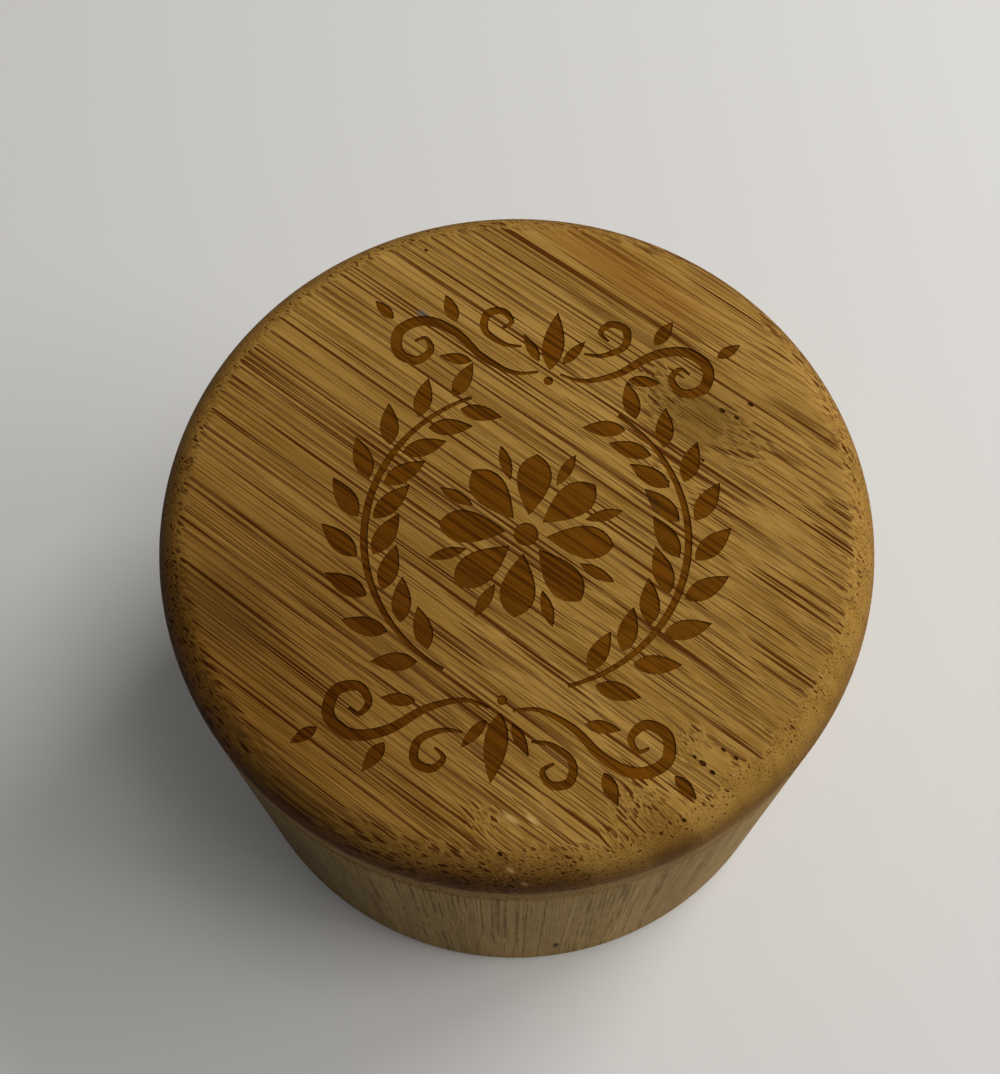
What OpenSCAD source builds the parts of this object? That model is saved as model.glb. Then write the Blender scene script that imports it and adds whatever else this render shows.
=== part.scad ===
// Round bamboo salt box. A thick turned body holds the salt, and a flat lid with a rounded
// top edge swings sideways about an upright steel pin set in the wall at the back. Two pairs
// of disc magnets near the front hold the lid shut.
//
// The base stands on z = 0 with its centre at the origin. The pin is on the +Y side and the
// magnets are on the -Y side.

/* [Box] */
// Outer diameter of the body and of the lid
outer_d = 89; // [84:0.5:110]
// Height of the body, from the base to the rim
body_h = 57.6; // [48:0.1:90]
// Thickness of the body's wall
wall_t = 9.5; // [9.2:0.1:12]
// Thickness of the body's floor
floor_t = 10.5; // [6:0.1:16]
// Radius of the cove between the wall and the floor, inside
cove_r = 6; // [2:0.1:12]
// Radius that the outer edge of the base is rounded to
base_edge_r = 1.4; // [0.5:0.1:3]
// Radius that the rim's outer and inner edges are eased to
rim_edge_r = 0.6; // [0.3:0.05:0.75]

/* [Lid] */
// Thickness of the lid
lid_t = 12; // [11:0.1:18]
// Width of the rounding on the lid's top edge, seen from above
lid_round_w = 4.8; // [3:0.1:8]
// Height of the rounding on the lid's top edge
lid_round_h = 6.8; // [3:0.1:8]
// Radius that the lid's bottom edge is eased to
lid_edge_r = 0.6; // [0.3:0.05:1.2]

/* [Pivot] */
// Diameter of the pivot pin
pin_d = 5; // [3:0.1:5.6]
// Length of the pin that is glued into the lid
pin_in_lid = 8; // [5:0.1:9]
// Length of the pin below the rim, in the body's wall
pin_in_body = 18; // [10:0.1:30]
// Width of the chamfer on each end of the pin
pin_chamfer = 0.5; // [0.2:0.05:1]
// Gap all round between the pin and the body's bore, in which it turns
pin_running_gap = 0.05; // [0.02:0.01:0.1]
// Diameter of the thin washer between the rim and the lid
washer_d = 8; // [7.2:0.1:8.2]
// Thickness of the washer, which is also the gap between the body and the lid
washer_t = 0.4; // [0.2:0.05:0.8]
// Gap all round between the washer's bore and the pin
washer_gap = 0.15; // [0.1:0.01:0.3]

/* [Magnets] */
// Diameter of each disc magnet
magnet_d = 6; // [4:0.1:6.4]
// Thickness of each disc magnet
magnet_t = 3; // [2:0.1:4]
// Angle of each pair of magnets from the front of the box, in degrees
magnet_angle = 26; // [10:1:60]
// Width of the chamfer on each magnet's edges
magnet_chamfer = 0.25; // [0.1:0.05:0.4]

/* [Fits] */
// Glue line all round a glued pin or magnet
glue_gap = 0.03; // [0.02:0.01:0.06]
// Room left past the end of the pin in each of its holes
end_gap = 0.6; // [0.3:0.1:1.5]

/* [Hidden] */

outer_r = outer_d / 2;
cavity_r = outer_r - wall_t;
// Pin and magnets are all on the middle line of the wall
ring_r = cavity_r + wall_t / 2;
lid_z = body_h + washer_t;
// Each magnet stands out of its pocket by half the gap, so that a pair meets face to face
magnet_proud = washer_t / 2;
magnet_meet_z = body_h + magnet_proud;
magnet_pocket = magnet_t - magnet_proud;
// How far a cutting shape runs past the face that it opens
past = 1;

bamboo = [0.56, 0.40, 0.17];
bamboo_light = [0.58, 0.45, 0.25];
steel = [0.72, 0.73, 0.75];
nickel = [0.80, 0.80, 0.82];
nylon = [0.93, 0.92, 0.88];

$fn = 128;

// Square with a quarter circle taken out, which rounds off a corner of a turned section. It
// sits on the corner. sx and sy are 1 or -1 and give the way that the corner points.
module corner_cut(r, sx, sy) {
  difference() {
    translate([sx > 0 ? -r : -past, sy > 0 ? -r : -past]) square(r + past);
    translate([-sx * r, -sy * r]) circle(r = r);
  }
}

// Puts what is drawn about the z axis on the axis that the lid swings about
module at_pivot(z) {
  translate([0, ring_r, z]) children();
}

// Puts it on a magnet's axis. side is -1 for the left one, seen from the front, and 1 for
// the right one.
module at_magnet(side, z) {
  rotate([0, 0, side * magnet_angle]) translate([0, -ring_r, z]) children();
}

// Round bar or disc with both of its ends chamfered
module chamfered_disc(d, h, chamfer) {
  rotate_extrude()
    polygon([
      [0, 0], [d / 2 - chamfer, 0], [d / 2, chamfer],
      [d / 2, h - chamfer], [d / 2 - chamfer, h], [0, h]
    ]);
}

// Half section of the cup: outer wall, rounded base edge, eased rim and coved cavity
module body_section() {
  difference() {
    square([outer_r, body_h]);
    translate([0, floor_t + cove_r]) square([cavity_r, body_h - floor_t - cove_r + past]);
    translate([0, floor_t]) square([cavity_r - cove_r, cove_r + past]);
    intersection() {
      translate([cavity_r - cove_r, floor_t + cove_r]) circle(r = cove_r);
      translate([cavity_r - cove_r - past, floor_t]) square([cove_r + past, cove_r + past]);
    }
    translate([outer_r, 0]) corner_cut(base_edge_r, 1, -1);
    translate([outer_r, body_h]) corner_cut(rim_edge_r, 1, 1);
    translate([cavity_r, body_h]) corner_cut(rim_edge_r, -1, 1);
  }
}

module body() {
  color(bamboo_light)
    difference() {
      rotate_extrude() body_section();
      // Blind bore that the pin turns in, then the blind pockets of the magnets
      at_pivot(body_h - pin_in_body - end_gap)
        cylinder(d = pin_d + 2 * pin_running_gap, h = pin_in_body + end_gap + past);
      for (side = [-1, 1])
        at_magnet(side, body_h - magnet_pocket)
          cylinder(d = magnet_d + 2 * glue_gap, h = magnet_pocket + past);
    }
}

// Half section of the lid: a flat disc, eased below and rounded on top to a quarter oval
module lid_section() {
  difference() {
    square([outer_r, lid_t]);
    translate([outer_r, lid_t]) scale([1, lid_round_h / lid_round_w])
      corner_cut(lid_round_w, 1, 1);
    translate([outer_r, 0]) corner_cut(lid_edge_r, 1, -1);
  }
}

module lid() {
  color(bamboo)
    difference() {
      translate([0, 0, lid_z]) rotate_extrude() lid_section();
      // Blind bore that the pin is glued into, then the blind pockets of the magnets
      at_pivot(lid_z - past)
        cylinder(d = pin_d + 2 * glue_gap, h = pin_in_lid + end_gap + past);
      for (side = [-1, 1])
        at_magnet(side, lid_z - past)
          cylinder(d = magnet_d + 2 * glue_gap, h = magnet_pocket + past);
    }
}

module pivot_pin() {
  color(steel)
    at_pivot(body_h - pin_in_body)
      chamfered_disc(pin_d, pin_in_body + washer_t + pin_in_lid, pin_chamfer);
}

module pivot_washer() {
  color(nylon)
    at_pivot(body_h)
      difference() {
        cylinder(d = washer_d, h = washer_t);
        translate([0, 0, -past])
          cylinder(d = pin_d + 2 * washer_gap, h = washer_t + 2 * past);
      }
}

module body_magnet(side) {
  color(nickel)
    at_magnet(side, magnet_meet_z - magnet_t)
      chamfered_disc(magnet_d, magnet_t, magnet_chamfer);
}

module lid_magnet(side) {
  color(nickel)
    at_magnet(side, magnet_meet_z)
      chamfered_disc(magnet_d, magnet_t, magnet_chamfer);
}

body();
body_magnet(-1);  // body_magnet_left
body_magnet(1);  // body_magnet_right
pivot_washer();
lid();
lid_magnet(-1);  // lid_magnet_left
lid_magnet(1);  // lid_magnet_right
pivot_pin();
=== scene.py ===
import math

import bmesh
import bpy
from mathutils import Matrix, Quaternion, Vector


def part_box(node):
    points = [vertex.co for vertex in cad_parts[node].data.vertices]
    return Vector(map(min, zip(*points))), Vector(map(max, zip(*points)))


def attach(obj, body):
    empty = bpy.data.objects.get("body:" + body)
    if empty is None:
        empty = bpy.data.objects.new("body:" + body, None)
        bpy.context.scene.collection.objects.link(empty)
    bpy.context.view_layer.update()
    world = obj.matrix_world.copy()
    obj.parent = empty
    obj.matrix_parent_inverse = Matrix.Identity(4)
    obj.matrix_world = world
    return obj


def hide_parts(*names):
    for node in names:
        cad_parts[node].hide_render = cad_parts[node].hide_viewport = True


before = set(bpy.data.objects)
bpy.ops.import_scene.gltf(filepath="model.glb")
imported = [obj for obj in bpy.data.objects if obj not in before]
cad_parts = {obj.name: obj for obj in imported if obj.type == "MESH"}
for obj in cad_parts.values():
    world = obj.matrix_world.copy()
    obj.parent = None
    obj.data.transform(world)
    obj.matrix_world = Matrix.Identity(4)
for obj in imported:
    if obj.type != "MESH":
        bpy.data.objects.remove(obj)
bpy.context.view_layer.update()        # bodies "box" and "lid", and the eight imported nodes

mm = 0.001
perMetre = 1000.0  # turns Object coordinates into millimetres
sharpEdge = math.radians(35)  # shading is smooth over edges flatter than this
weldWithin = 1e-7             # metres, closes the seam of a spun shape

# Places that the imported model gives, in metres
lidLow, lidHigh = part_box("lid")
pinLow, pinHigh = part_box("pivot_pin")
outerRadius = lidHigh.x
lidTop = lidHigh.z
pivot = (pinLow + pinHigh) / 2
print("frame: outer radius %.2f mm, lid top at %.2f mm" % (outerRadius / mm, lidTop / mm))


# Turns an sRGB hex value into the linear colour that a shader takes, by the standard's curve
def hexToLinear(code):
    parts = [int(code[i : i + 2], 16) / 255 for i in (1, 3, 5)]
    return [p / 12.92 if p <= 0.04045 else ((p + 0.055) / 1.055) ** 2.4 for p in parts] + [1.0]


# Adds a node, sets its inputs or properties and links what goes into it
def addNode(tree, kind, settings=None, links=None):
    node = tree.nodes.new(kind)
    for name, value in (settings or {}).items():
        if isinstance(name, int) or name in node.inputs:
            node.inputs[name].default_value = value
        else:
            setattr(node, name, value)
    for name, source in (links or {}).items():
        tree.links.new(source, node.inputs[name])
    return node


def newMaterial(name):
    material = bpy.data.materials.new(name)
    material.use_nodes = True
    material.node_tree.nodes.clear()
    return material, material.node_tree


def finishMaterial(tree, settings, links):
    shader = addNode(tree, "ShaderNodeBsdfPrincipled", settings, links)
    addNode(tree, "ShaderNodeOutputMaterial", None, {"Surface": shader.outputs[0]})


cameraPlace = {
    "focal": 52.76,       # mm, on a sensor 36 mm along the picture's height
    "sensor": 36.0,
    "nearest": 0.01,      # metres, what is closer isn't drawn
    "azimuth": 7.0,       # degrees round from the front, towards the right
    "elevation": 67.62,   # degrees above the horizon, seen from the lid
    "roll": -0.66,
    "distance": 4.295,    # from the middle of the lid's top, in outer radii
    "aim": (-0.044, -0.069),  # aside and beyond that middle, in outer radii
}


def makeCamera(s):
    turn = Matrix.Rotation(math.radians(s["azimuth"]), 3, "Z")
    lift = math.radians(s["elevation"])
    away = s["distance"] * outerRadius
    middle = Vector((0, 0, lidTop))
    place = middle + turn @ Vector((0, -away * math.cos(lift), away * math.sin(lift)))
    aim = middle + turn @ Vector((*s["aim"], 0)) * outerRadius
    data = bpy.data.cameras.new("camera")
    data.lens = s["focal"]
    data.sensor_width = s["sensor"]
    data.clip_start = s["nearest"]
    camera = bpy.data.objects.new("camera", data)
    camera.location = place
    camera.rotation_mode = "QUATERNION"
    level = (aim - place).to_track_quat("-Z", "Y")
    camera.rotation_quaternion = level @ Quaternion((0, 0, 1), math.radians(s["roll"]))
    bpy.context.scene.collection.objects.link(camera)
    bpy.context.scene.camera = camera


makeCamera(cameraPlace)
print("camera: done")


# A bmesh becomes an object at the origin, smooth but for its sharp edges
def makeObject(name, bm, materials):
    mesh = bpy.data.meshes.new(name)
    bm.to_mesh(mesh)
    bm.free()
    for material in materials:
        mesh.materials.append(material)
    piece = bpy.data.objects.new(name, mesh)
    bpy.context.scene.collection.objects.link(piece)
    mesh.shade_smooth()
    mesh.set_sharp_from_angle(angle=sharpEdge)
    return piece


# Spins a half section, given as (radius, height) in metres, into a closed shape
def lathe(profile, steps):
    bm = bmesh.new()
    points = [bm.verts.new((r, 0, z)) for r, z in profile]
    edges = [bm.edges.new(pair) for pair in zip(points, points[1:])]
    bmesh.ops.spin(
        bm, geom=points + edges, cent=(0, 0, 0), axis=(0, 0, 1),
        angle=math.tau, steps=steps, use_merge=True,
    )
    bmesh.ops.remove_doubles(bm, verts=bm.verts, dist=weldWithin)
    bmesh.ops.holes_fill(bm, edges=[e for e in bm.edges if e.is_boundary], sides=0)
    bmesh.ops.recalc_face_normals(bm, faces=bm.faces)
    return bm


# Points of a rounded corner, a quarter oval about a centre, between two angles in degrees
def corner(centre, width, height, start, end, steps):
    turns = [math.radians(start + (end - start) * i / steps) for i in range(steps + 1)]
    return [(centre[0] + width * math.cos(t), centre[1] + height * math.sin(t)) for t in turns]


# Cuts one object with another and keeps only the result
def cutWith(piece, cutter):
    cut = piece.modifiers.new("cut", "BOOLEAN")
    cut.operation = "DIFFERENCE"
    cut.solver = "EXACT"
    cut.object = cutter
    graph = bpy.context.evaluated_depsgraph_get()
    result = bpy.data.meshes.new_from_object(piece.evaluated_get(graph))
    piece.modifiers.clear()
    piece.data = result
    bpy.data.objects.remove(cutter)
    result.shade_smooth()
    result.set_sharp_from_angle(angle=sharpEdge)


# Turns the part's axes so that Z runs along the grain and X goes through the slats
def grainTurn(along, through):
    along, through = Vector(along).normalized(), Vector(through).normalized()
    return Matrix((through, along.cross(through), along)).to_euler()


# Laminated bamboo, sanded and oiled. Slats split from the culm's wall are glued side by side.
# Dark fibre bundles run in the paler pith, so a face along the grain has fine brown streaks
# and a face across it has dots. All patterns are solid and in mm, as wide as real bundles.
grainAngle = -29  # degrees, the way the lid's grain runs, falling to the right
grainWay = Matrix.Rotation(math.radians(grainAngle), 3, "Z")
lidGrain = {
    "turn": grainTurn(grainWay @ Vector((1, 0, 0)), grainWay @ Vector((0, 1, 0))),
    "shift": (1.4, 8.0, 500.0),         # where the pattern starts
    "slat": (5.6, 30.0, 1000.0),        # thickness, width and length of a slat
    "wave": (16.0, 16.0, 75.0),         # how fast the bundles wander
    "drift": (0.8, 0.30, 0.0),          # and how far
    "lean": (0.006, 0.012, 0.0),        # how much a slat's bundles lean, mm in each mm
    "dip": (0.014, 0.00025),            # slope down through the lid, more to the right
    "bundles": [
        {"pitch": 0.66, "size": 0.29, "soft": 0.06, "vary": 0.16, "strength": 0.96},
        {"pitch": 0.33, "size": 0.28, "soft": 0.10, "vary": 0.16, "strength": 0.65},
    ],
    "halo": 0.13,                       # pale pith beside a bundle
    "denser": 0.08,                     # bundles are thicker near the culm's outer side
    "uneven": 0.05,                     # and thicker in some slats than in others
    "fade": (0.6, 0.6, 18.0),           # bundles grow lighter and darker along their length
    "ends": (24.0, 41.0),               # where the rim begins to cut the bundles across,
    "edge": (39.8, 42.5),               # the rim's own width,
    "finer": 0.16, "knotFiner": 0.05,   # and how much finer they look there and at the knots
    "hair": (0.22, 0.22, 16.0),         # thin pale fibres
    "fibre": (0.12, 0.12, 6.0),         # sizes of the tone's fibres, bands and blotches,
    "band": (2.0, 3.2, 48.0),
    "mottle": (1.4, 1.4, 3.5),
    "tones": {"slat": 0.30, "band": 0.75, "fibre": 0.95, "mottle": 0.45},  # and their strengths
}
bodyGrain = {
    "turn": grainTurn((0, 0, 1), (math.cos(math.radians(12)), math.sin(math.radians(12)), 0)),
    "shift": (2.1, 4.0, 500.0),
    "slat": (6.2, 21.0, 1000.0),
    "wave": (18.0, 18.0, 60.0),
    "drift": (1.0, 1.0, 0.0),
    "lean": (0.03, 0.03, 0.0),
    "dip": (0.0, 0.0),
    "bundles": [
        {"pitch": 0.80, "size": 0.23, "soft": 0.10, "vary": 0.16, "strength": 0.58},
        {"pitch": 0.42, "size": 0.21, "soft": 0.12, "vary": 0.16, "strength": 0.42},
    ],
    "halo": 0.16,
    "denser": 0.08,
    "uneven": 0.05,
    "fade": (0.7, 0.7, 6.5),
    "ends": (90.0, 100.0), "edge": (90.0, 100.0), "finer": 0.0, "knotFiner": 0.05,
    "hair": (0.25, 0.25, 9.0),
    "fibre": (0.14, 0.14, 5.0),
    "band": (2.6, 2.6, 30.0),
    "mottle": (1.8, 1.8, 4.0),
    "tones": {"slat": 0.35, "band": 0.6, "fibre": 0.8, "mottle": 0.5},
}

# Marks, in mm: a place on the part, the half sizes across, through and along the grain. A knot
# is where the bundles rise and cross the face steeply, as they do at a joint of the culm. A
# tint darkens the grain with its colour, or lies over it. A ring is a band round the axis.
# Painted shade: a broad soft darkening over the lid's front left, where the lamps give less light
frontLeftShade = {"at": (-40, -34, 70), "size": (66, 120, 58), "colour": "#AC966E", "share": 0.75}
lidMarks = {
    "knots": [
        {"at": (20.5, 16.0, 70), "size": (6.0, 20, 12.0), "rise": (0.6, 1.3, 0)},
        {"at": (18.5, 6.5, 70), "size": (2.6, 20, 6.0), "rise": (0.4, 0.7, 0)},
        {"at": (26.6, -27.0, 70), "size": (3.2, 20, 6.5), "rise": (0.9, 0.9, 0)},
        {"at": (22.4, -36.0, 70), "size": (4.5, 20, 9.0), "rise": (1.3, 1.5, 0)},
        {"at": (4.5, -39.5, 70), "size": (3.0, 20, 7.0), "rise": (0.9, 0.9, 0)},
        {"at": (17.5, -38.5, 68), "size": (1.8, 8, 4.0), "rise": (0.7, 0.9, 0)},
    ],
    "tints": [
        frontLeftShade,
        {"at": (20.5, 16.5, 70), "size": (6.5, 20, 12.0), "colour": "#A39C84", "share": 0.60},
        {"at": (22.4, -36.4, 70), "size": (3.6, 20, 7.0), "colour": "#A8886C", "share": 0.45},
        {"at": (-0.5, -46.5, 68), "size": (8, 8, 8), "colour": "#946C3C", "share": 0.50},
        {"at": (9.0, -45.5, 68), "size": (9, 9, 9), "colour": "#946C3C", "share": 0.45},
        {"at": (9.8, 35.0, 70), "size": (5.0, 20, 20.0), "over": "#8F5C1B", "share": 0.60},
        {"at": (-33.0, -16.0, 70), "size": (7.0, 20, 12.0), "colour": "#AAA8AA", "share": 0.50},
        {"at": (27.5, 21.0, 70), "size": (1.6, 20, 3.6), "over": "#B58C44", "share": 0.35},
        {"at": (17.8, 6.0, 70), "size": (1.3, 20, 3.4), "over": "#B58C44", "share": 0.35},
        {"at": (26.0, -26.8, 70), "size": (1.8, 20, 3.6), "over": "#B58C44", "share": 0.40},
        {"at": (-15.6, 25.7, 70), "size": (0.9, 20, 1.3), "over": "#56625F", "share": 0.50},
        {"at": (5.1, -42.4, 68.5), "size": (0.35, 0.6, 1.2), "over": "#CCA868", "share": 0.8},
        {"at": (6.9, -43.4, 66.4), "size": (0.45, 0.7, 1.5), "over": "#CCA868", "share": 0.9},
        {"at": (4.4, -36.9, 70), "size": (0.45, 20, 1.7), "over": "#CCA868", "share": 0.85},
        {"at": (6.8, -36.7, 70), "size": (0.40, 20, 1.3), "over": "#CCA868", "share": 0.85},
    ],
    "rings": [  # a ring is full past "to" and above "high"
        # Painted shade: the rim's rounding darker and more olive on its back left side, away from the
        # lamps
        {"from": 39.5, "to": 44.2, "low": 50, "high": 51, "colour": "#9A8A60", "share": 0.60,
         "side": (-0.77, 0.64, 0)},
        # Painted shade: a dark band where the rounding meets the lid's wall, strongest on the front left
        {"from": 42.8, "to": 44.3, "low": 62.2, "high": 63.8, "colour": "#6E4A20", "share": 0.70,
         "side": (-0.75, -0.66, 0)},
        # Painted reflection: a pale grey-tan veil over the lid's wall, as the pale floor would reflect
        # at a grazing angle
        {"from": 43.8, "to": 44.3, "low": 64.0, "high": 61.6, "over": "#806C42", "share": 0.32},
    ],
}
bodyMarks = {
    "knots": [{"at": (-6.0, -44.5, 30), "size": (9.0, 6.0, 9.0), "rise": (0.5, 0.5, 0)}],
    "tints": [
        # Painted shade: the body's left and front sides darkened, where the lamps give less light
        {"at": (-42, -22, 30), "size": (68, 68, 120), "colour": "#746F55", "share": 0.9},
        # Painted shade: a near-black spot for the shade inside a small pit in the body; the pit itself
        # isn't cut
        {"at": (11.9, -42.9, 13.3), "size": (0.7, 0.7, 4.0), "over": "#1C1003", "share": 1.0},
    ],
    "rings": [],
}


# What all the bamboo shares
bambooDetail = {
    "fade": (0.36, 0.56),    # noise between these fades the bundles
    "fadeLeast": 0.50,       # what is left of a faded bundle
    "hair": (0.55, 0.72),    # noise between these makes the pale hairs
    "spot": (1.0, 0.15),     # where a mark begins and where it is full, in half sizes
    "sideReach": 30.0,       # mm to each side in which a one-sided ring grows
    "sideLeast": 0.2,        # what is left of it on its weak side
    "slatApart": 37.0,       # cells, so that no two slats show the same bundles
    "streakRough": 0.15,     # how much rougher a bundle is than the pith
    "relief": 0.03 * mm,     # height of the fibres
    "shine": 0.02,           # the oil has sunk in, so there is hardly any gloss
    "ior": 1.5,
}


# Soft-edged oval about a place on the part, in the grain's coordinates
def addSpot(tree, grain, s, mark):
    centre = s["turn"].to_matrix() @ Vector(mark["at"]) + Vector(s["shift"])
    off = addNode(tree, "ShaderNodeVectorMath", {"operation": "SUBTRACT", 1: centre}, {0: grain})
    even = addNode(
        tree, "ShaderNodeVectorMath", {"operation": "DIVIDE", 1: mark["size"]}, {0: off.outputs[0]},
    )
    reach = addNode(tree, "ShaderNodeVectorMath", {"operation": "LENGTH"}, {0: even.outputs[0]})
    return addNode(
        tree, "ShaderNodeMapRange",
        {"interpolation_type": "SMOOTHSTEP", "From Min": bambooDetail["spot"][0],
         "From Max": bambooDetail["spot"][1]},
        {"Value": reach.outputs["Value"]},
    ).outputs[0]


# The grain's coordinates, the part's own in mm, and the distance from the box's axis
def grainPlaces(tree, s):
    coords = addNode(tree, "ShaderNodeTexCoord").outputs["Object"]
    grain = addNode(
        tree, "ShaderNodeMapping",
        {"Rotation": s["turn"], "Location": s["shift"], "Scale": (perMetre,) * 3}, {"Vector": coords},
    )
    place = addNode(
        tree, "ShaderNodeVectorMath", {"operation": "SCALE", "Scale": perMetre}, {0: coords},
    ).outputs[0]
    level = addNode(tree, "ShaderNodeVectorMath", {"operation": "MULTIPLY", 1: (1, 1, 0)}, {0: place})
    radius = addNode(tree, "ShaderNodeVectorMath", {"operation": "LENGTH"}, {0: level.outputs[0]})
    return grain.outputs[0], place, radius.outputs["Value"]


# What chance gives each slat, and how far through its slat a point is
def slatPlaces(tree, s, grain):
    slats = addNode(tree, "ShaderNodeVectorMath", {"operation": "DIVIDE", 1: s["slat"]}, {0: grain})
    number = addNode(tree, "ShaderNodeVectorMath", {"operation": "FLOOR"}, {0: slats.outputs[0]})
    inside = addNode(tree, "ShaderNodeVectorMath", {"operation": "FRACTION"}, {0: slats.outputs[0]})
    chance = addNode(tree, "ShaderNodeTexWhiteNoise", None, {"Vector": number.outputs[0]})
    through = addNode(tree, "ShaderNodeSeparateXYZ", None, {"Vector": inside.outputs[0]})
    return chance.outputs["Color"], through.outputs["X"]


# Where the bundles run: they wander, lean with their slat and dip through the lid
def bundleFlow(tree, s, grain, along, chance):
    slow = addNode(tree, "ShaderNodeVectorMath", {"operation": "DIVIDE", 1: s["wave"]}, {0: grain})
    wave = addNode(
        tree, "ShaderNodeTexNoise", {"Scale": 1.0, "Detail": 1.0}, {"Vector": slow.outputs[0]},
    )
    even = addNode(
        tree, "ShaderNodeVectorMath", {"operation": "SUBTRACT", 1: (0.5, 0.5, 0.5)},
        {0: wave.outputs["Color"]},
    )
    wander = addNode(
        tree, "ShaderNodeVectorMath", {"operation": "MULTIPLY_ADD", 1: s["drift"]},
        {0: even.outputs[0], 2: grain},
    )
    sides = addNode(
        tree, "ShaderNodeVectorMath", {"operation": "SUBTRACT", 1: (0.5, 0.5, 0.5)}, {0: chance},
    )
    lean = addNode(
        tree, "ShaderNodeVectorMath", {"operation": "MULTIPLY", 1: s["lean"]}, {0: sides.outputs[0]},
    )
    leaning = addNode(
        tree, "ShaderNodeVectorMath", {"operation": "SCALE"}, {0: lean.outputs[0], "Scale": along},
    )
    flow = addNode(
        tree, "ShaderNodeVectorMath", {"operation": "ADD"},
        {0: wander.outputs[0], 1: leaning.outputs[0]},
    )
    slope = addNode(
        tree, "ShaderNodeMath", {"operation": "MULTIPLY_ADD", 1: s["dip"][1], 2: s["dip"][0]},
        {0: along},
    )
    depth = addNode(tree, "ShaderNodeMath", {"operation": "MULTIPLY"}, {0: slope.outputs[0], 1: along})
    dip = addNode(tree, "ShaderNodeCombineXYZ", None, {"Y": depth.outputs[0]})
    return addNode(
        tree, "ShaderNodeVectorMath", {"operation": "ADD"}, {0: flow.outputs[0], 1: dip.outputs[0]},
    ).outputs[0]


# Bundles rise at the knots. They look finer there, and where the rim cuts them across.
def riseAtKnots(tree, s, knots, grain, along, radius, flow):
    reach = addNode(tree, "ShaderNodeMath", {"operation": "ABSOLUTE"}, {0: along})
    ends = addNode(
        tree, "ShaderNodeMapRange", {"From Min": s["ends"][0], "From Max": s["ends"][1]},
        {"Value": reach.outputs[0]},
    )
    edge = addNode(
        tree, "ShaderNodeMapRange",
        {"From Min": s["edge"][0], "From Max": s["edge"][1], "To Max": s["finer"]}, {"Value": radius},
    )
    finer = addNode(
        tree, "ShaderNodeMath", {"operation": "MULTIPLY"}, {0: ends.outputs[0], 1: edge.outputs[0]},
    ).outputs[0]
    for knot in knots:
        mask = addSpot(tree, grain, s, knot)
        flow = addNode(
            tree, "ShaderNodeVectorMath", {"operation": "MULTIPLY_ADD", 1: knot["rise"]},
            {0: mask, 2: flow},
        ).outputs[0]
        finer = addNode(
            tree, "ShaderNodeMath", {"operation": "MULTIPLY_ADD", 1: s["knotFiner"]},
            {0: mask, 2: finer},
        ).outputs[0]
    return flow, finer


# How far a bundle's edge moves out, by its place in its slat, by its slat and by the finer look
def bundleGrowth(tree, s, through, slatChance, finer):
    crowd = addNode(
        tree, "ShaderNodeMath", {"operation": "MULTIPLY_ADD", 1: s["denser"], 2: -s["denser"] / 2},
        {0: through},
    )
    uneven = addNode(
        tree, "ShaderNodeMath", {"operation": "MULTIPLY_ADD", 1: s["uneven"]},
        {0: slatChance, 2: crowd.outputs[0]},
    )
    return addNode(
        tree, "ShaderNodeMath", {"operation": "SUBTRACT"}, {0: uneven.outputs[0], 1: finer},
    ).outputs[0]


# Round bundles that run the whole way, each of its own size, and the pale pith beside the
# large ones
def bundleStreaks(tree, s, flow, chance, growth):
    lengths = addNode(tree, "ShaderNodeVectorMath", {"operation": "DIVIDE", 1: s["fade"]}, {0: flow})
    coming = addNode(
        tree, "ShaderNodeTexNoise", {"Scale": 1.0, "Detail": 1.0}, {"Vector": lengths.outputs[0]},
    )
    fade = addNode(
        tree, "ShaderNodeMapRange",
        {"From Min": bambooDetail["fade"][0], "From Max": bambooDetail["fade"][1],
         "To Min": bambooDetail["fadeLeast"]},
        {"Value": coming.outputs[0]},
    )
    streak, pale = None, None
    for layer in s["bundles"]:
        cells = addNode(
            tree, "ShaderNodeVectorMath", {"operation": "DIVIDE", 1: (layer["pitch"],) * 3}, {0: flow},
        )
        moved = addNode(
            tree, "ShaderNodeVectorMath",
            {"operation": "MULTIPLY_ADD", 1: (bambooDetail["slatApart"],) * 3},
            {0: chance, 2: cells.outputs[0]},
        )
        bundle = addNode(
            tree, "ShaderNodeTexVoronoi", {"voronoi_dimensions": "2D", "Scale": 1.0},
            {"Vector": moved.outputs[0]},
        )
        own = addNode(tree, "ShaderNodeSeparateColor", None, {"Color": bundle.outputs["Color"]})
        wider = addNode(
            tree, "ShaderNodeMath", {"operation": "MULTIPLY_ADD", 1: layer["vary"]},
            {0: own.outputs["Red"], 2: bundle.outputs["Distance"]},
        )
        near = addNode(
            tree, "ShaderNodeMath", {"operation": "SUBTRACT"}, {0: wider.outputs[0], 1: growth},
        )
        rim = layer["size"] + layer["soft"]
        dark = addNode(
            tree, "ShaderNodeMapRange",
            {"interpolation_type": "SMOOTHSTEP", "From Min": rim, "From Max": layer["size"],
             "To Max": layer["strength"]},
            {"Value": near.outputs[0]},
        )
        faded = addNode(
            tree, "ShaderNodeMath", {"operation": "MULTIPLY"},
            {0: dark.outputs[0], 1: fade.outputs[0]},
        ).outputs[0]
        if streak is None:
            streak = faded
            pale = addNode(
                tree, "ShaderNodeMapRange",
                {"interpolation_type": "SMOOTHSTEP", "From Min": rim + s["halo"], "From Max": rim},
                {"Value": near.outputs[0]},
            ).outputs[0]
        else:
            streak = addNode(
                tree, "ShaderNodeMath", {"operation": "MAXIMUM"}, {0: streak, 1: faded},
            ).outputs[0]
    return streak, pale


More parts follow.
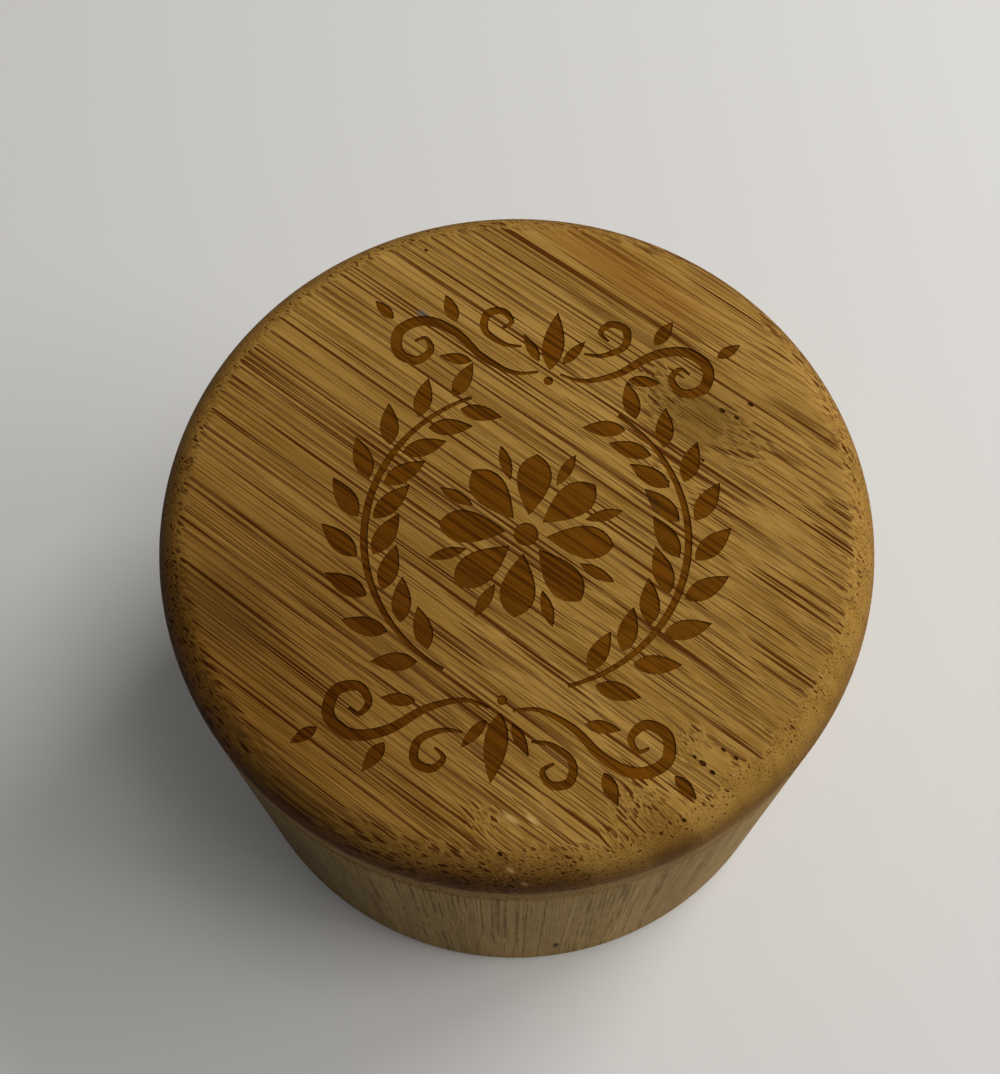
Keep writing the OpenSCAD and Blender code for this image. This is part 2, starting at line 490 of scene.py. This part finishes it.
def paleHairs(tree, s, flow):
    thin = addNode(tree, "ShaderNodeVectorMath", {"operation": "DIVIDE", 1: s["hair"]}, {0: flow})
    hair = addNode(
        tree, "ShaderNodeTexNoise", {"Scale": 1.0, "Detail": 1.0}, {"Vector": thin.outputs[0]},
    )
    return addNode(
        tree, "ShaderNodeMapRange",
        {"From Min": bambooDetail["hair"][0], "From Max": bambooDetail["hair"][1]},
        {"Value": hair.outputs[0]},
    ).outputs[0]


# Tone: slat by slat, in soft bands, in blotches and in fine fibres
def grainTone(tree, s, flow, slatChance):
    tones = s["tones"]
    tone = addNode(
        tree, "ShaderNodeMath",
        {"operation": "MULTIPLY_ADD", 1: tones["slat"], 2: 0.5 - sum(tones.values()) / 2},
        {0: slatChance},
    ).outputs[0]
    noises = {}
    for name in ("band", "mottle", "fibre"):
        stretched = addNode(tree, "ShaderNodeVectorMath", {"operation": "DIVIDE", 1: s[name]}, {0: flow})
        noises[name] = addNode(
            tree, "ShaderNodeTexNoise", {"Scale": 1.0, "Detail": 2.0}, {"Vector": stretched.outputs[0]},
        ).outputs[0]
        tone = addNode(
            tree, "ShaderNodeMath", {"operation": "MULTIPLY_ADD", 1: tones[name]},
            {0: noises[name], 2: tone},
        ).outputs[0]
    return tone, noises["fibre"]


# Puts the pattern together and returns the sockets that the material reads
def bambooPattern(tree, s, knots):
    grain, place, radius = grainPlaces(tree, s)
    chance, through = slatPlaces(tree, s, grain)
    chances = addNode(tree, "ShaderNodeSeparateColor", None, {"Color": chance})
    centred = addNode(
        tree, "ShaderNodeVectorMath", {"operation": "SUBTRACT", 1: s["shift"]}, {0: grain},
    )
    along = addNode(tree, "ShaderNodeSeparateXYZ", None, {"Vector": centred.outputs[0]}).outputs["Z"]
    flow = bundleFlow(tree, s, grain, along, chance)
    flow, finer = riseAtKnots(tree, s, knots, grain, along, radius, flow)
    growth = bundleGrowth(tree, s, through, chances.outputs["Red"], finer)
    streak, pale = bundleStreaks(tree, s, flow, chance, growth)
    tone, fibre = grainTone(tree, s, flow, chances.outputs["Green"])
    return {"grain": grain, "place": place, "radius": radius, "tone": tone, "streak": streak,
            "pale": pale, "hairs": paleHairs(tree, s, flow), "fibre": fibre}


# Band round the box's axis, which may be stronger on one side
def addRing(tree, pattern, ring):
    height = addNode(tree, "ShaderNodeSeparateXYZ", None, {"Vector": pattern["place"]})
    outward = addNode(
        tree, "ShaderNodeMapRange",
        {"interpolation_type": "SMOOTHSTEP", "From Min": ring["from"], "From Max": ring["to"]},
        {"Value": pattern["radius"]},
    )
    upward = addNode(
        tree, "ShaderNodeMapRange",
        {"interpolation_type": "SMOOTHSTEP", "From Min": ring["low"], "From Max": ring["high"]},
        {"Value": height.outputs["Z"]},
    )
    band = addNode(
        tree, "ShaderNodeMath", {"operation": "MULTIPLY"},
        {0: outward.outputs[0], 1: upward.outputs[0]},
    )
    if "side" not in ring:
        return band.outputs[0]
    facing = addNode(
        tree, "ShaderNodeVectorMath", {"operation": "DOT_PRODUCT", 1: ring["side"]},
        {0: pattern["place"]},
    )
    turned = addNode(
        tree, "ShaderNodeMapRange",
        {"From Min": -bambooDetail["sideReach"], "From Max": bambooDetail["sideReach"],
         "To Min": bambooDetail["sideLeast"]},
        {"Value": facing.outputs["Value"]},
    )
    return addNode(
        tree, "ShaderNodeMath", {"operation": "MULTIPLY"}, {0: band.outputs[0], 1: turned.outputs[0]},
    ).outputs[0]


# Bamboo, sanded and oiled: honey pith with brown bundles, silky and with hardly any gloss
def makeBamboo(name, s, look, marks):
    material, tree = newMaterial(name)
    pattern = bambooPattern(tree, s, marks["knots"])
    tone = addNode(tree, "ShaderNodeClamp", None, {0: pattern["tone"]})
    pith = addNode(
        tree, "ShaderNodeMix",
        {"data_type": "RGBA", 6: hexToLinear(look["deep"]), 7: hexToLinear(look["pale"])},
        {0: tone.outputs[0]},
    )
    layers = [
        (pattern["pale"], look["beside"], look["besideShare"], "MIX"),
        (pattern["hairs"], look["beside"], look["hairShare"], "MIX"),
        (pattern["streak"], look["bundle"], 1.0, "MIX"),
    ]
    masks = [(addSpot(tree, pattern["grain"], s, tint), tint) for tint in marks["tints"]]
    masks += [(addRing(tree, pattern, ring), ring) for ring in marks["rings"]]
    for mask, mark in masks:
        kind = "MIX" if "over" in mark else "MULTIPLY"
        layers.append((mask, mark.get("over") or mark["colour"], mark["share"], kind))
    colour = pith.outputs[2]
    for mask, code, share, blend in layers:
        amount = addNode(tree, "ShaderNodeMath", {"operation": "MULTIPLY", 1: share}, {0: mask})
        colour = addNode(
            tree, "ShaderNodeMix", {"data_type": "RGBA", "blend_type": blend, 7: hexToLinear(code)},
            {0: amount.outputs[0], 6: colour},
        ).outputs[2]

    rough = addNode(
        tree, "ShaderNodeMath",
        {"operation": "MULTIPLY_ADD", 1: bambooDetail["streakRough"], 2: look["roughness"]},
        {0: pattern["streak"]},
    )
    relief = addNode(
        tree, "ShaderNodeMath", {"operation": "MULTIPLY_ADD", 1: -look["sink"]},
        {0: pattern["streak"], 2: pattern["fibre"]},
    )
    bump = addNode(
        tree, "ShaderNodeBump", {"Strength": 1.0, "Distance": bambooDetail["relief"]},
        {"Height": relief.outputs[0]},
    )
    finishMaterial(
        tree, {"IOR": bambooDetail["ior"], "Specular IOR Level": bambooDetail["shine"]},
        {"Base Color": colour, "Roughness": rough.outputs[0], "Normal": bump.outputs[0]},
    )
    return material


# Looks of the bamboo. "sink" is how deep a bundle lies, as a share of the fibres' relief.
# The engraving and the pores keep only the lid's painted shade on the front left
plain = {"knots": [], "tints": [frontLeftShade], "rings": []}
lidBamboo = makeBamboo("bamboo_oiled_flat_grain", lidGrain, {
    "pale": "#BC9048", "deep": "#805A1C", "bundle": "#542703", "beside": "#C49A54",
    "besideShare": 0.30, "hairShare": 0.48, "roughness": 0.56, "sink": 1.2,
}, lidMarks)
# The laser leaves a shallow floor of toasted brown, and chars the walls
burntBamboo = makeBamboo("bamboo_laser_burnt", lidGrain, {
    "pale": "#7A4809", "deep": "#623805", "bundle": "#4C2803", "beside": "#7A4809",
    "besideShare": 0.0, "hairShare": 0.0, "roughness": 0.65, "sink": 1.2,
}, plain)
charredBamboo = makeBamboo("bamboo_laser_edge", lidGrain, {
    "pale": "#4E2B06", "deep": "#3C2004", "bundle": "#2A1402", "beside": "#4E2B06",
    "besideShare": 0.0, "hairShare": 0.0, "roughness": 0.7, "sink": 1.2,
}, plain)
# Open pores at the knots: the faces cut for them are a darker brown
poreBamboo = makeBamboo("bamboo_open_pore", lidGrain, {
    "pale": "#6A4416", "deep": "#52330E", "bundle": "#3E2407", "beside": "#6A4416",
    "besideShare": 0.0, "hairShare": 0.0, "roughness": 0.75, "sink": 1.0,
}, plain)
bodyBamboo = makeBamboo("bamboo_oiled_upright_grain", bodyGrain, {
    "pale": "#B5935B", "deep": "#826733", "bundle": "#4A3511", "beside": "#C1A166",
    "besideShare": 0.30, "hairShare": 0.48, "roughness": 0.55, "sink": 1.0,
}, bodyMarks)
print("bamboo: done")


metalDetail = {
    "noise": (0.3, 0.7),      # noise between these makes the marks,
    "rougher": (0.8, 1.3),    # which are smoother and rougher than the metal by these shares
    "strength": 0.4,
    "depth": 0.004 * mm,
}


# Metal with fine marks, given as their sizes in mm, stretched where it was ground
def makeMetal(name, colour, roughness, scratch, s):
    material, tree = newMaterial(name)
    place = addNode(tree, "ShaderNodeTexCoord")
    stretched = addNode(
        tree, "ShaderNodeMapping", {"Scale": [perMetre / size for size in scratch]},
        {"Vector": place.outputs["Object"]},
    )
    marks = addNode(
        tree, "ShaderNodeTexNoise", {"Scale": 1.0, "Detail": 3.0}, {"Vector": stretched.outputs[0]},
    )
    rough = addNode(
        tree, "ShaderNodeMapRange",
        {"From Min": s["noise"][0], "From Max": s["noise"][1],
         "To Min": roughness * s["rougher"][0], "To Max": roughness * s["rougher"][1]},
        {"Value": marks.outputs[0]},
    )
    bump = addNode(
        tree, "ShaderNodeBump", {"Strength": s["strength"], "Distance": s["depth"]},
        {"Height": marks.outputs[0]},
    )
    finishMaterial(
        tree, {"Base Color": hexToLinear(colour), "Metallic": 1.0},
        {"Roughness": rough.outputs[0], "Normal": bump.outputs[0]},
    )
    return material


# Bright nickel plate, finely scuffed, and steel that is ground round the pin
nickel = makeMetal("nickel_plate", "#C9C5BC", 0.20, (0.8, 0.8, 0.8), metalDetail)
steel = makeMetal("ground_steel", "#B9BBBE", 0.28, (1.2, 1.2, 0.05), metalDetail)

nylonLook = {
    "colour": "#EDEAE0",
    "cloud": 1.5,                # mm
    "roughness": (0.38, 0.52),
    "ior": 1.53,
    "milk": 0.3,                 # how much light goes in,
    "milkDepth": 0.5 * mm,       # and how deep
}


# Nylon is milky, waxy and a little clouded
def makeNylon(s):
    material, tree = newMaterial("natural_nylon")
    place = addNode(tree, "ShaderNodeTexCoord")
    cloud = addNode(
        tree, "ShaderNodeTexNoise", {"Scale": perMetre / s["cloud"]},
        {"Vector": place.outputs["Object"]},
    )
    rough = addNode(
        tree, "ShaderNodeMapRange", {"To Min": s["roughness"][0], "To Max": s["roughness"][1]},
        {"Value": cloud.outputs[0]},
    )
    finishMaterial(
        tree,
        {"Base Color": hexToLinear(s["colour"]), "IOR": s["ior"],
         "Subsurface Weight": s["milk"], "Subsurface Scale": s["milkDepth"]},
        {"Roughness": rough.outputs[0]},
    )
    return material


nylon = makeNylon(nylonLook)
for name, material in (
    ("body", bodyBamboo), ("body_magnet_left", nickel), ("body_magnet_right", nickel),
    ("lid_magnet_left", nickel), ("lid_magnet_right", nickel), ("pivot_pin", steel),
    ("pivot_washer", nylon),
):
    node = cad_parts[name]
    node.data.materials.clear()
    node.data.materials.append(material)
print("hardware: done")


# A wreath round a rosette, between scrolls, in mm. A leaf is where it starts, the way it
# points in degrees, its length and its width. Paths are those of the upper right part. A
# belly moves a leaf's widest place towards its base. "first" and "largest" are the shares of
# the leaves' spacing and of the stem at which the first and the largest pairs grow.
engraving = {
    "centre": (1.5, -2.5),
    "depth": 0.18,
    "above": 0.4,           # how far the cutter stands over the lid
    "heart": 1.5,           # radius of the rosette's middle
    "leafSides": 28, "discSides": 24,
    "leafBelly": 0.15,
    "swell": 1.3,           # how fast a stroke thins towards its ends
    "curveSteps": 8,        # from one point of a scroll to the next
    "petals": {"count": 8, "from": 2.5, "length": 8.2, "width": 4.3, "belly": -0.25},
    "rays": {"from": 7.4, "length": 4.8, "width": 1.5, "belly": 0.0},
    "stem": {"radius": 19.6, "from": -68, "to": 62, "widths": (0.5, 0.95), "steps": 48},
    "leaves": {"pairs": 9, "length": 6.3, "width": 2.6, "lean": 38, "gap": 0.95, "first": 0.6,
               "shrink": 0.3, "largest": 0.45},
    "scrolls": [
        {"widths": (0.35, 1.5), "path": [
            (1.4, 22.0), (4.5, 21.5), (8.6, 23.1), (12.6, 26.2), (16.6, 27.3), (19.6, 25.5),
            (19.4, 22.5), (16.9, 21.5), (15.3, 23.2), (16.2, 24.8), (17.5, 24.2)]},
        {"widths": (0.35, 1.1), "path": [
            (4.0, 25.3), (6.4, 25.4), (8.9, 27.0), (8.9, 29.4), (6.9, 30.0), (5.7, 28.6), (6.9, 27.5)]},
    ],
    "scrollLeaves": [
        ((12.7, 27.7), 62, 4.2, 1.8), ((9.9, 22.4), 2, 4.2, 1.6), ((20.7, 27.0), 40, 3.6, 1.5),
    ],
    "finial": [((0.0, 22.4), 90, 8.4, 2.8), ((1.5, 23.5), 56, 4.4, 1.4)],
    "bead": {"at": (0.0, 20.9), "radius": 0.6},
}


# Leaf or petal: a circle drawn out to two points
def addLeaf(bm, s, base, angle, length, width, belly):
    made = bmesh.ops.create_circle(bm, cap_ends=True, segments=s["leafSides"], radius=1)["verts"]
    for v in made:
        x, y = v.co.x, v.co.y
        v.co = Vector((x - belly * (1 - x * x), y * abs(y), 0))
    turn = Matrix.Rotation(math.radians(angle), 4, "Z")
    size = Matrix.Diagonal((length / 2, width / 2, 1, 1)) @ Matrix.Translation((1, 0, 0))
    bmesh.ops.transform(bm, matrix=Matrix.Translation((*base, 0)) @ turn @ size, verts=made)


def addDisc(bm, s, centre, radius):
    place = Matrix.Translation((*centre, 0))
    bmesh.ops.create_circle(bm, cap_ends=True, segments=s["discSides"], radius=radius, matrix=place)


# Line along a path that swells from thin ends to a thick middle
def addStroke(bm, s, path, widths):
    last = len(path) - 1
    thin, thick = widths
    made = bmesh.ops.create_grid(bm, x_segments=last, y_segments=1, size=1)["verts"]
    for v in made:
        i = round((v.co.x + 1) / 2 * last)
        heading = (path[min(i + 1, last)] - path[max(i - 1, 0)]).normalized()
        width = thin + (thick - thin) * math.sin(math.pi * i / last) ** s["swell"]
        side = Vector((-heading.y, heading.x)) * v.co.y * width / 2
        v.co = Vector((*(path[i] + side), 0))


def arcPath(s, side):
    turns = [s["from"] + (s["to"] - s["from"]) * i / s["steps"] for i in range(s["steps"] + 1)]
    turns = [math.radians(t) for t in turns]
    return [Vector((side * math.cos(t), math.sin(t))) * s["radius"] for t in turns]


# Smooth curve through some points
def smoothPath(points, each):
    points = [Vector(p) for p in points]
    path = []
    for i in range(len(points) - 1):
        a, b = points[i], points[i + 1]
        before, after = points[max(i - 1, 0)], points[min(i + 2, len(points) - 1)]
        for k in range(each):
            t = k / each
            path.append(
                a + (b - before) * (t / 2) + (before * 2 - a * 5 + b * 4 - after) * (t * t / 2)
                + (a * 3 - before - b * 3 + after) * (t ** 3 / 2)
            )
    return path + [points[-1]]


# Point on a circle round the ornament's middle
def polar(angle, radius):
    return Vector((math.cos(math.radians(angle)), math.sin(math.radians(angle)))) * radius


def drawRosette(bm, s):
    petals, rays = s["petals"], s["rays"]
    addDisc(bm, s, (0, 0), s["heart"])
    for i in range(petals["count"] * 2):
        angle = 180 / petals["count"] * i
        kind = rays if i % 2 else petals
        out = polar(angle, kind["from"])
        addLeaf(bm, s, out, angle, kind["length"], kind["width"], kind["belly"])


# Half of the wreath. side is 1 for the right half and -1 for the left one.
def drawWreath(bm, s, side):
    stem, leaves = s["stem"], s["leaves"]
    addStroke(bm, s, arcPath(stem, side), stem["widths"])
    for k in range(leaves["pairs"]):
        share = (k + leaves["first"]) / leaves["pairs"]
        angle = stem["from"] + (stem["to"] - stem["from"]) * share
        size = 1 - leaves["shrink"] * abs(share - leaves["largest"])
        for turn in (1, -1):
            base = polar(angle, stem["radius"] - turn * leaves["gap"])
            heading = angle + 90 + turn * leaves["lean"]
            if side < 0:
                base.x, heading = -base.x, 180 - heading
            addLeaf(bm, s, base, heading, leaves["length"] * size, leaves["width"] * size,
                    s["leafBelly"])


# The scrolls of one side, above (up = 1) or below (up = -1). The right side has the middle leaf.
def drawScrolls(bm, s, side, up):
    for scroll in s["scrolls"]:
        curve = smoothPath(scroll["path"], s["curveSteps"])
        addStroke(bm, s, [Vector((side * p.x, up * p.y)) for p in curve], scroll["widths"])
    twigs = s["scrollLeaves"] + s["finial"][1:] + (s["finial"][:1] if side > 0 else [])
    for base, angle, length, width in twigs:
        heading = angle if side > 0 else 180 - angle
        place = (side * base[0], up * base[1])
        addLeaf(bm, s, place, up * heading, length, width, s["leafBelly"])


def drawOrnament(bm, s):
    drawRosette(bm, s)
    for side in (1, -1):
        drawWreath(bm, s, side)
        for up in (1, -1):
            drawScrolls(bm, s, side, up)
    for up in (1, -1):
        addDisc(bm, s, (s["bead"]["at"][0], up * s["bead"]["at"][1]), s["bead"]["radius"])


lidShape = {
    "roundWidth": 4.8 * mm, "roundHeight": 6.8 * mm, "edge": 0.6 * mm,
    "flatRing": 0.3 * mm,   # level ring between a corner and the flat face
    "steps": 240, "edgeSteps": 5, "roundSteps": 24,  # round the axis, and up its two corners
    "pocketRadius": 3.03 * mm, "pocketDepth": 2.8 * mm,
    "boreRadius": 2.53 * mm, "boreDepth": 8.6 * mm,
    "holeSides": 64,
    "smallFace": 3e-4,      # square metres, less than the top and bottom have
    "skin": 0.01 * mm,      # a face this near the lid's top isn't a cut one
    "levelFace": 0.5,       # upright part of the normal, more than an engraved wall has
    # Open pores: place on the lid and length along the grain, in mm
    "pores": [
        (26.9, 18.6, 0.9), (23.5, 17.3, 0.9), (25.3, 16.5, 0.7), (21.7, 10.2, 0.6), (19.4, 8.1, 0.8),
        (17.7, 6.8, 0.7), (16.6, 4.1, 0.8), (27.4, -25.7, 0.7), (28.9, -26.5, 0.7), (25.2, -27.6, 1.0),
        (26.4, -28.5, 0.8), (24.2, -27.0, 0.6), (24.3, -31.4, 0.8), (23.8, -34.3, 0.9),
        (21.4, -36.1, 0.6), (-16.7, 35.1, 0.6), (-25.2, 31.7, 0.5), (3.7, -41.0, 0.8),
    ],
    "poreWidth": 0.6,       # of the length
    "poreDepth": 0.22 * mm,
    "poreSides": (14, 8),
    "poreReach": 0.7,       # of the length, within which a cut face is the pore's
}


# Height of the lid's top face at a distance from the axis
def lidHeight(s, distance):
    over = max(0.0, distance - (outerRadius - s["roundWidth"])) / s["roundWidth"]
    return lidTop - s["roundHeight"] * (1 - math.sqrt(1 - min(over, 1.0) ** 2))


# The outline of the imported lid: flat, eased below and rounded on top to a quarter oval
def lidProfile(s):
    edge = (outerRadius - s["edge"], lidLow.z + s["edge"])
    rounding = (outerRadius - s["roundWidth"], lidTop - s["roundHeight"])
    profile = [(edge[0] - s["flatRing"], lidLow.z)]
    profile += corner(edge, s["edge"], s["edge"], -90, 0, s["edgeSteps"])
    profile += corner(rounding, s["roundWidth"], s["roundHeight"], 0, 90, s["roundSteps"])
    return profile + [(rounding[0] - s["flatRing"], lidTop)]


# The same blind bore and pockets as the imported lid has
def cutPockets(lid, s):
    holes = [(pivot, s["boreRadius"], s["boreDepth"])]
    for name in ("lid_magnet_left", "lid_magnet_right"):
        a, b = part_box(name)
        holes.append(((a + b) / 2, s["pocketRadius"], s["pocketDepth"]))
    pockets = bmesh.new()
    for centre, radius, depth in holes:
        bmesh.ops.create_cone(
            pockets, cap_ends=True, segments=s["holeSides"], radius1=radius, radius2=radius,
            depth=2 * depth, matrix=Matrix.Translation((centre.x, centre.y, lidLow.z)),
        )
    cutWith(lid, makeObject("pockets", pockets, []))


def cutPores(lid, s):
    turn = Matrix.Rotation(math.radians(grainAngle), 4, "Z")
    across, up = s["poreSides"]
    pores = bmesh.new()
    for x, y, length in s["pores"]:
        place = Vector((x * mm, y * mm, 0))
        place.z = lidHeight(s, place.length)
        half = length * mm / 2
        shape = Matrix.Translation(place) @ turn
        shape @= Matrix.Diagonal((half, half * s["poreWidth"], s["poreDepth"], 1))
        bmesh.ops.create_uvsphere(pores, u_segments=across, v_segments=up, radius=1, matrix=shape)
    cutWith(lid, makeObject("pores", pores, []))


def cutOrnament(lid, s):
    cutter = bmesh.new()
    drawOrnament(cutter, s)
    made = bmesh.ops.extrude_face_region(cutter, geom=cutter.faces[:])["geom"]
    raised = [g for g in made if isinstance(g, bmesh.types.BMVert)]
    bmesh.ops.translate(cutter, vec=(0, 0, s["depth"] + s["above"]), verts=raised)
    bmesh.ops.translate(cutter, vec=(*s["centre"], 0), verts=cutter.verts)
    bmesh.ops.scale(cutter, vec=(mm, mm, mm), verts=cutter.verts)
    bmesh.ops.translate(cutter, vec=(0, 0, lidTop - s["depth"] * mm), verts=cutter.verts)
    bmesh.ops.recalc_face_normals(cutter, faces=cutter.faces)
    cutWith(lid, makeObject("ornament", cutter, []))


# Gives the engraving's floor and walls and the pores their materials
def paintCuts(lid, s, materials):
    places = [(Vector((x * mm, y * mm)), length * mm) for x, y, length in s["pores"]]
    for face in lid.data.polygons:
        centre = face.center
        below = lidHeight(s, centre.xy.length) - centre.z
        kind = "plain"
        if face.area <= s["smallFace"] and s["skin"] < below < s["roundHeight"]:
            if any((centre.xy - at).length < length * s["poreReach"] for at, length in places):
                kind = "pore"
            elif centre.xy.length < outerRadius - s["roundWidth"]:
                kind = "floor" if abs(face.normal.z) > s["levelFace"] else "wall"
        face.material_index = list(materials).index(kind)


def makeLid(s):
    materials = {
        "plain": lidBamboo, "floor": burntBamboo, "wall": charredBamboo, "pore": poreBamboo,
    }
    lid = makeObject("lid_engraved", lathe(lidProfile(s), s["steps"]), materials.values())
    cutPockets(lid, s)
    cutPores(lid, s)
    cutOrnament(lid, engraving)
    paintCuts(lid, s, materials)
    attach(lid, "lid")
    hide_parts("lid")
    print("lid: %d faces" % len(lid.data.polygons))


makeLid(lidShape)

# A soft key from behind on the right, a side light, and a high one that the box hides from
# the floor close to its left, as a window and a ceiling would give
studio = {
    "floorSize": 3.0, "floorColour": "#E6E4E0", "floorRoughness": 0.75, "floorIor": 1.45,
    "world": "#FFFFFF", "worldStrength": 0.17,
    "lights": [
        {"name": "key", "size": 0.4, "at": (0.45, 0.45, 0.65), "power": 3.75},
        {"name": "side", "size": 0.4, "at": (0.65, 0.05, 0.55), "power": 1.7},
        {"name": "sky", "size": 0.35, "at": (0.36, -0.04, 1.1), "power": 2.05},
    ],
    "aim": (0, 0, 0.04),
}


def makeStudio(s):
    bm = bmesh.new()
    bmesh.ops.create_grid(bm, x_segments=1, y_segments=1, size=s["floorSize"] / 2)
    material, tree = newMaterial("pale_matt_paper")
    finishMaterial(
        tree, {"Base Color": hexToLinear(s["floorColour"]), "Roughness": s["floorRoughness"],
               "IOR": s["floorIor"]}, {},
    )
    makeObject("floor", bm, [material])
    for light in s["lights"]:
        data = bpy.data.lights.new(light["name"], "AREA")
        data.size = light["size"]
        data.energy = light["power"]
        lamp = bpy.data.objects.new(light["name"], data)
        lamp.location = light["at"]
        lamp.rotation_mode = "QUATERNION"
        towards = Vector(s["aim"]) - Vector(light["at"])
        lamp.rotation_quaternion = towards.to_track_quat("-Z", "Y")
        bpy.context.scene.collection.objects.link(lamp)
    world = bpy.data.worlds.new("studio")
    world.use_nodes = True
    back = world.node_tree.nodes["Background"]
    back.inputs["Color"].default_value = hexToLinear(s["world"])
    back.inputs["Strength"].default_value = s["worldStrength"]
    bpy.context.scene.world = world
    bpy.context.scene.view_settings.view_transform = "Standard"


makeStudio(studio)
print("studio: done")

bpy.context.view_layer.update()
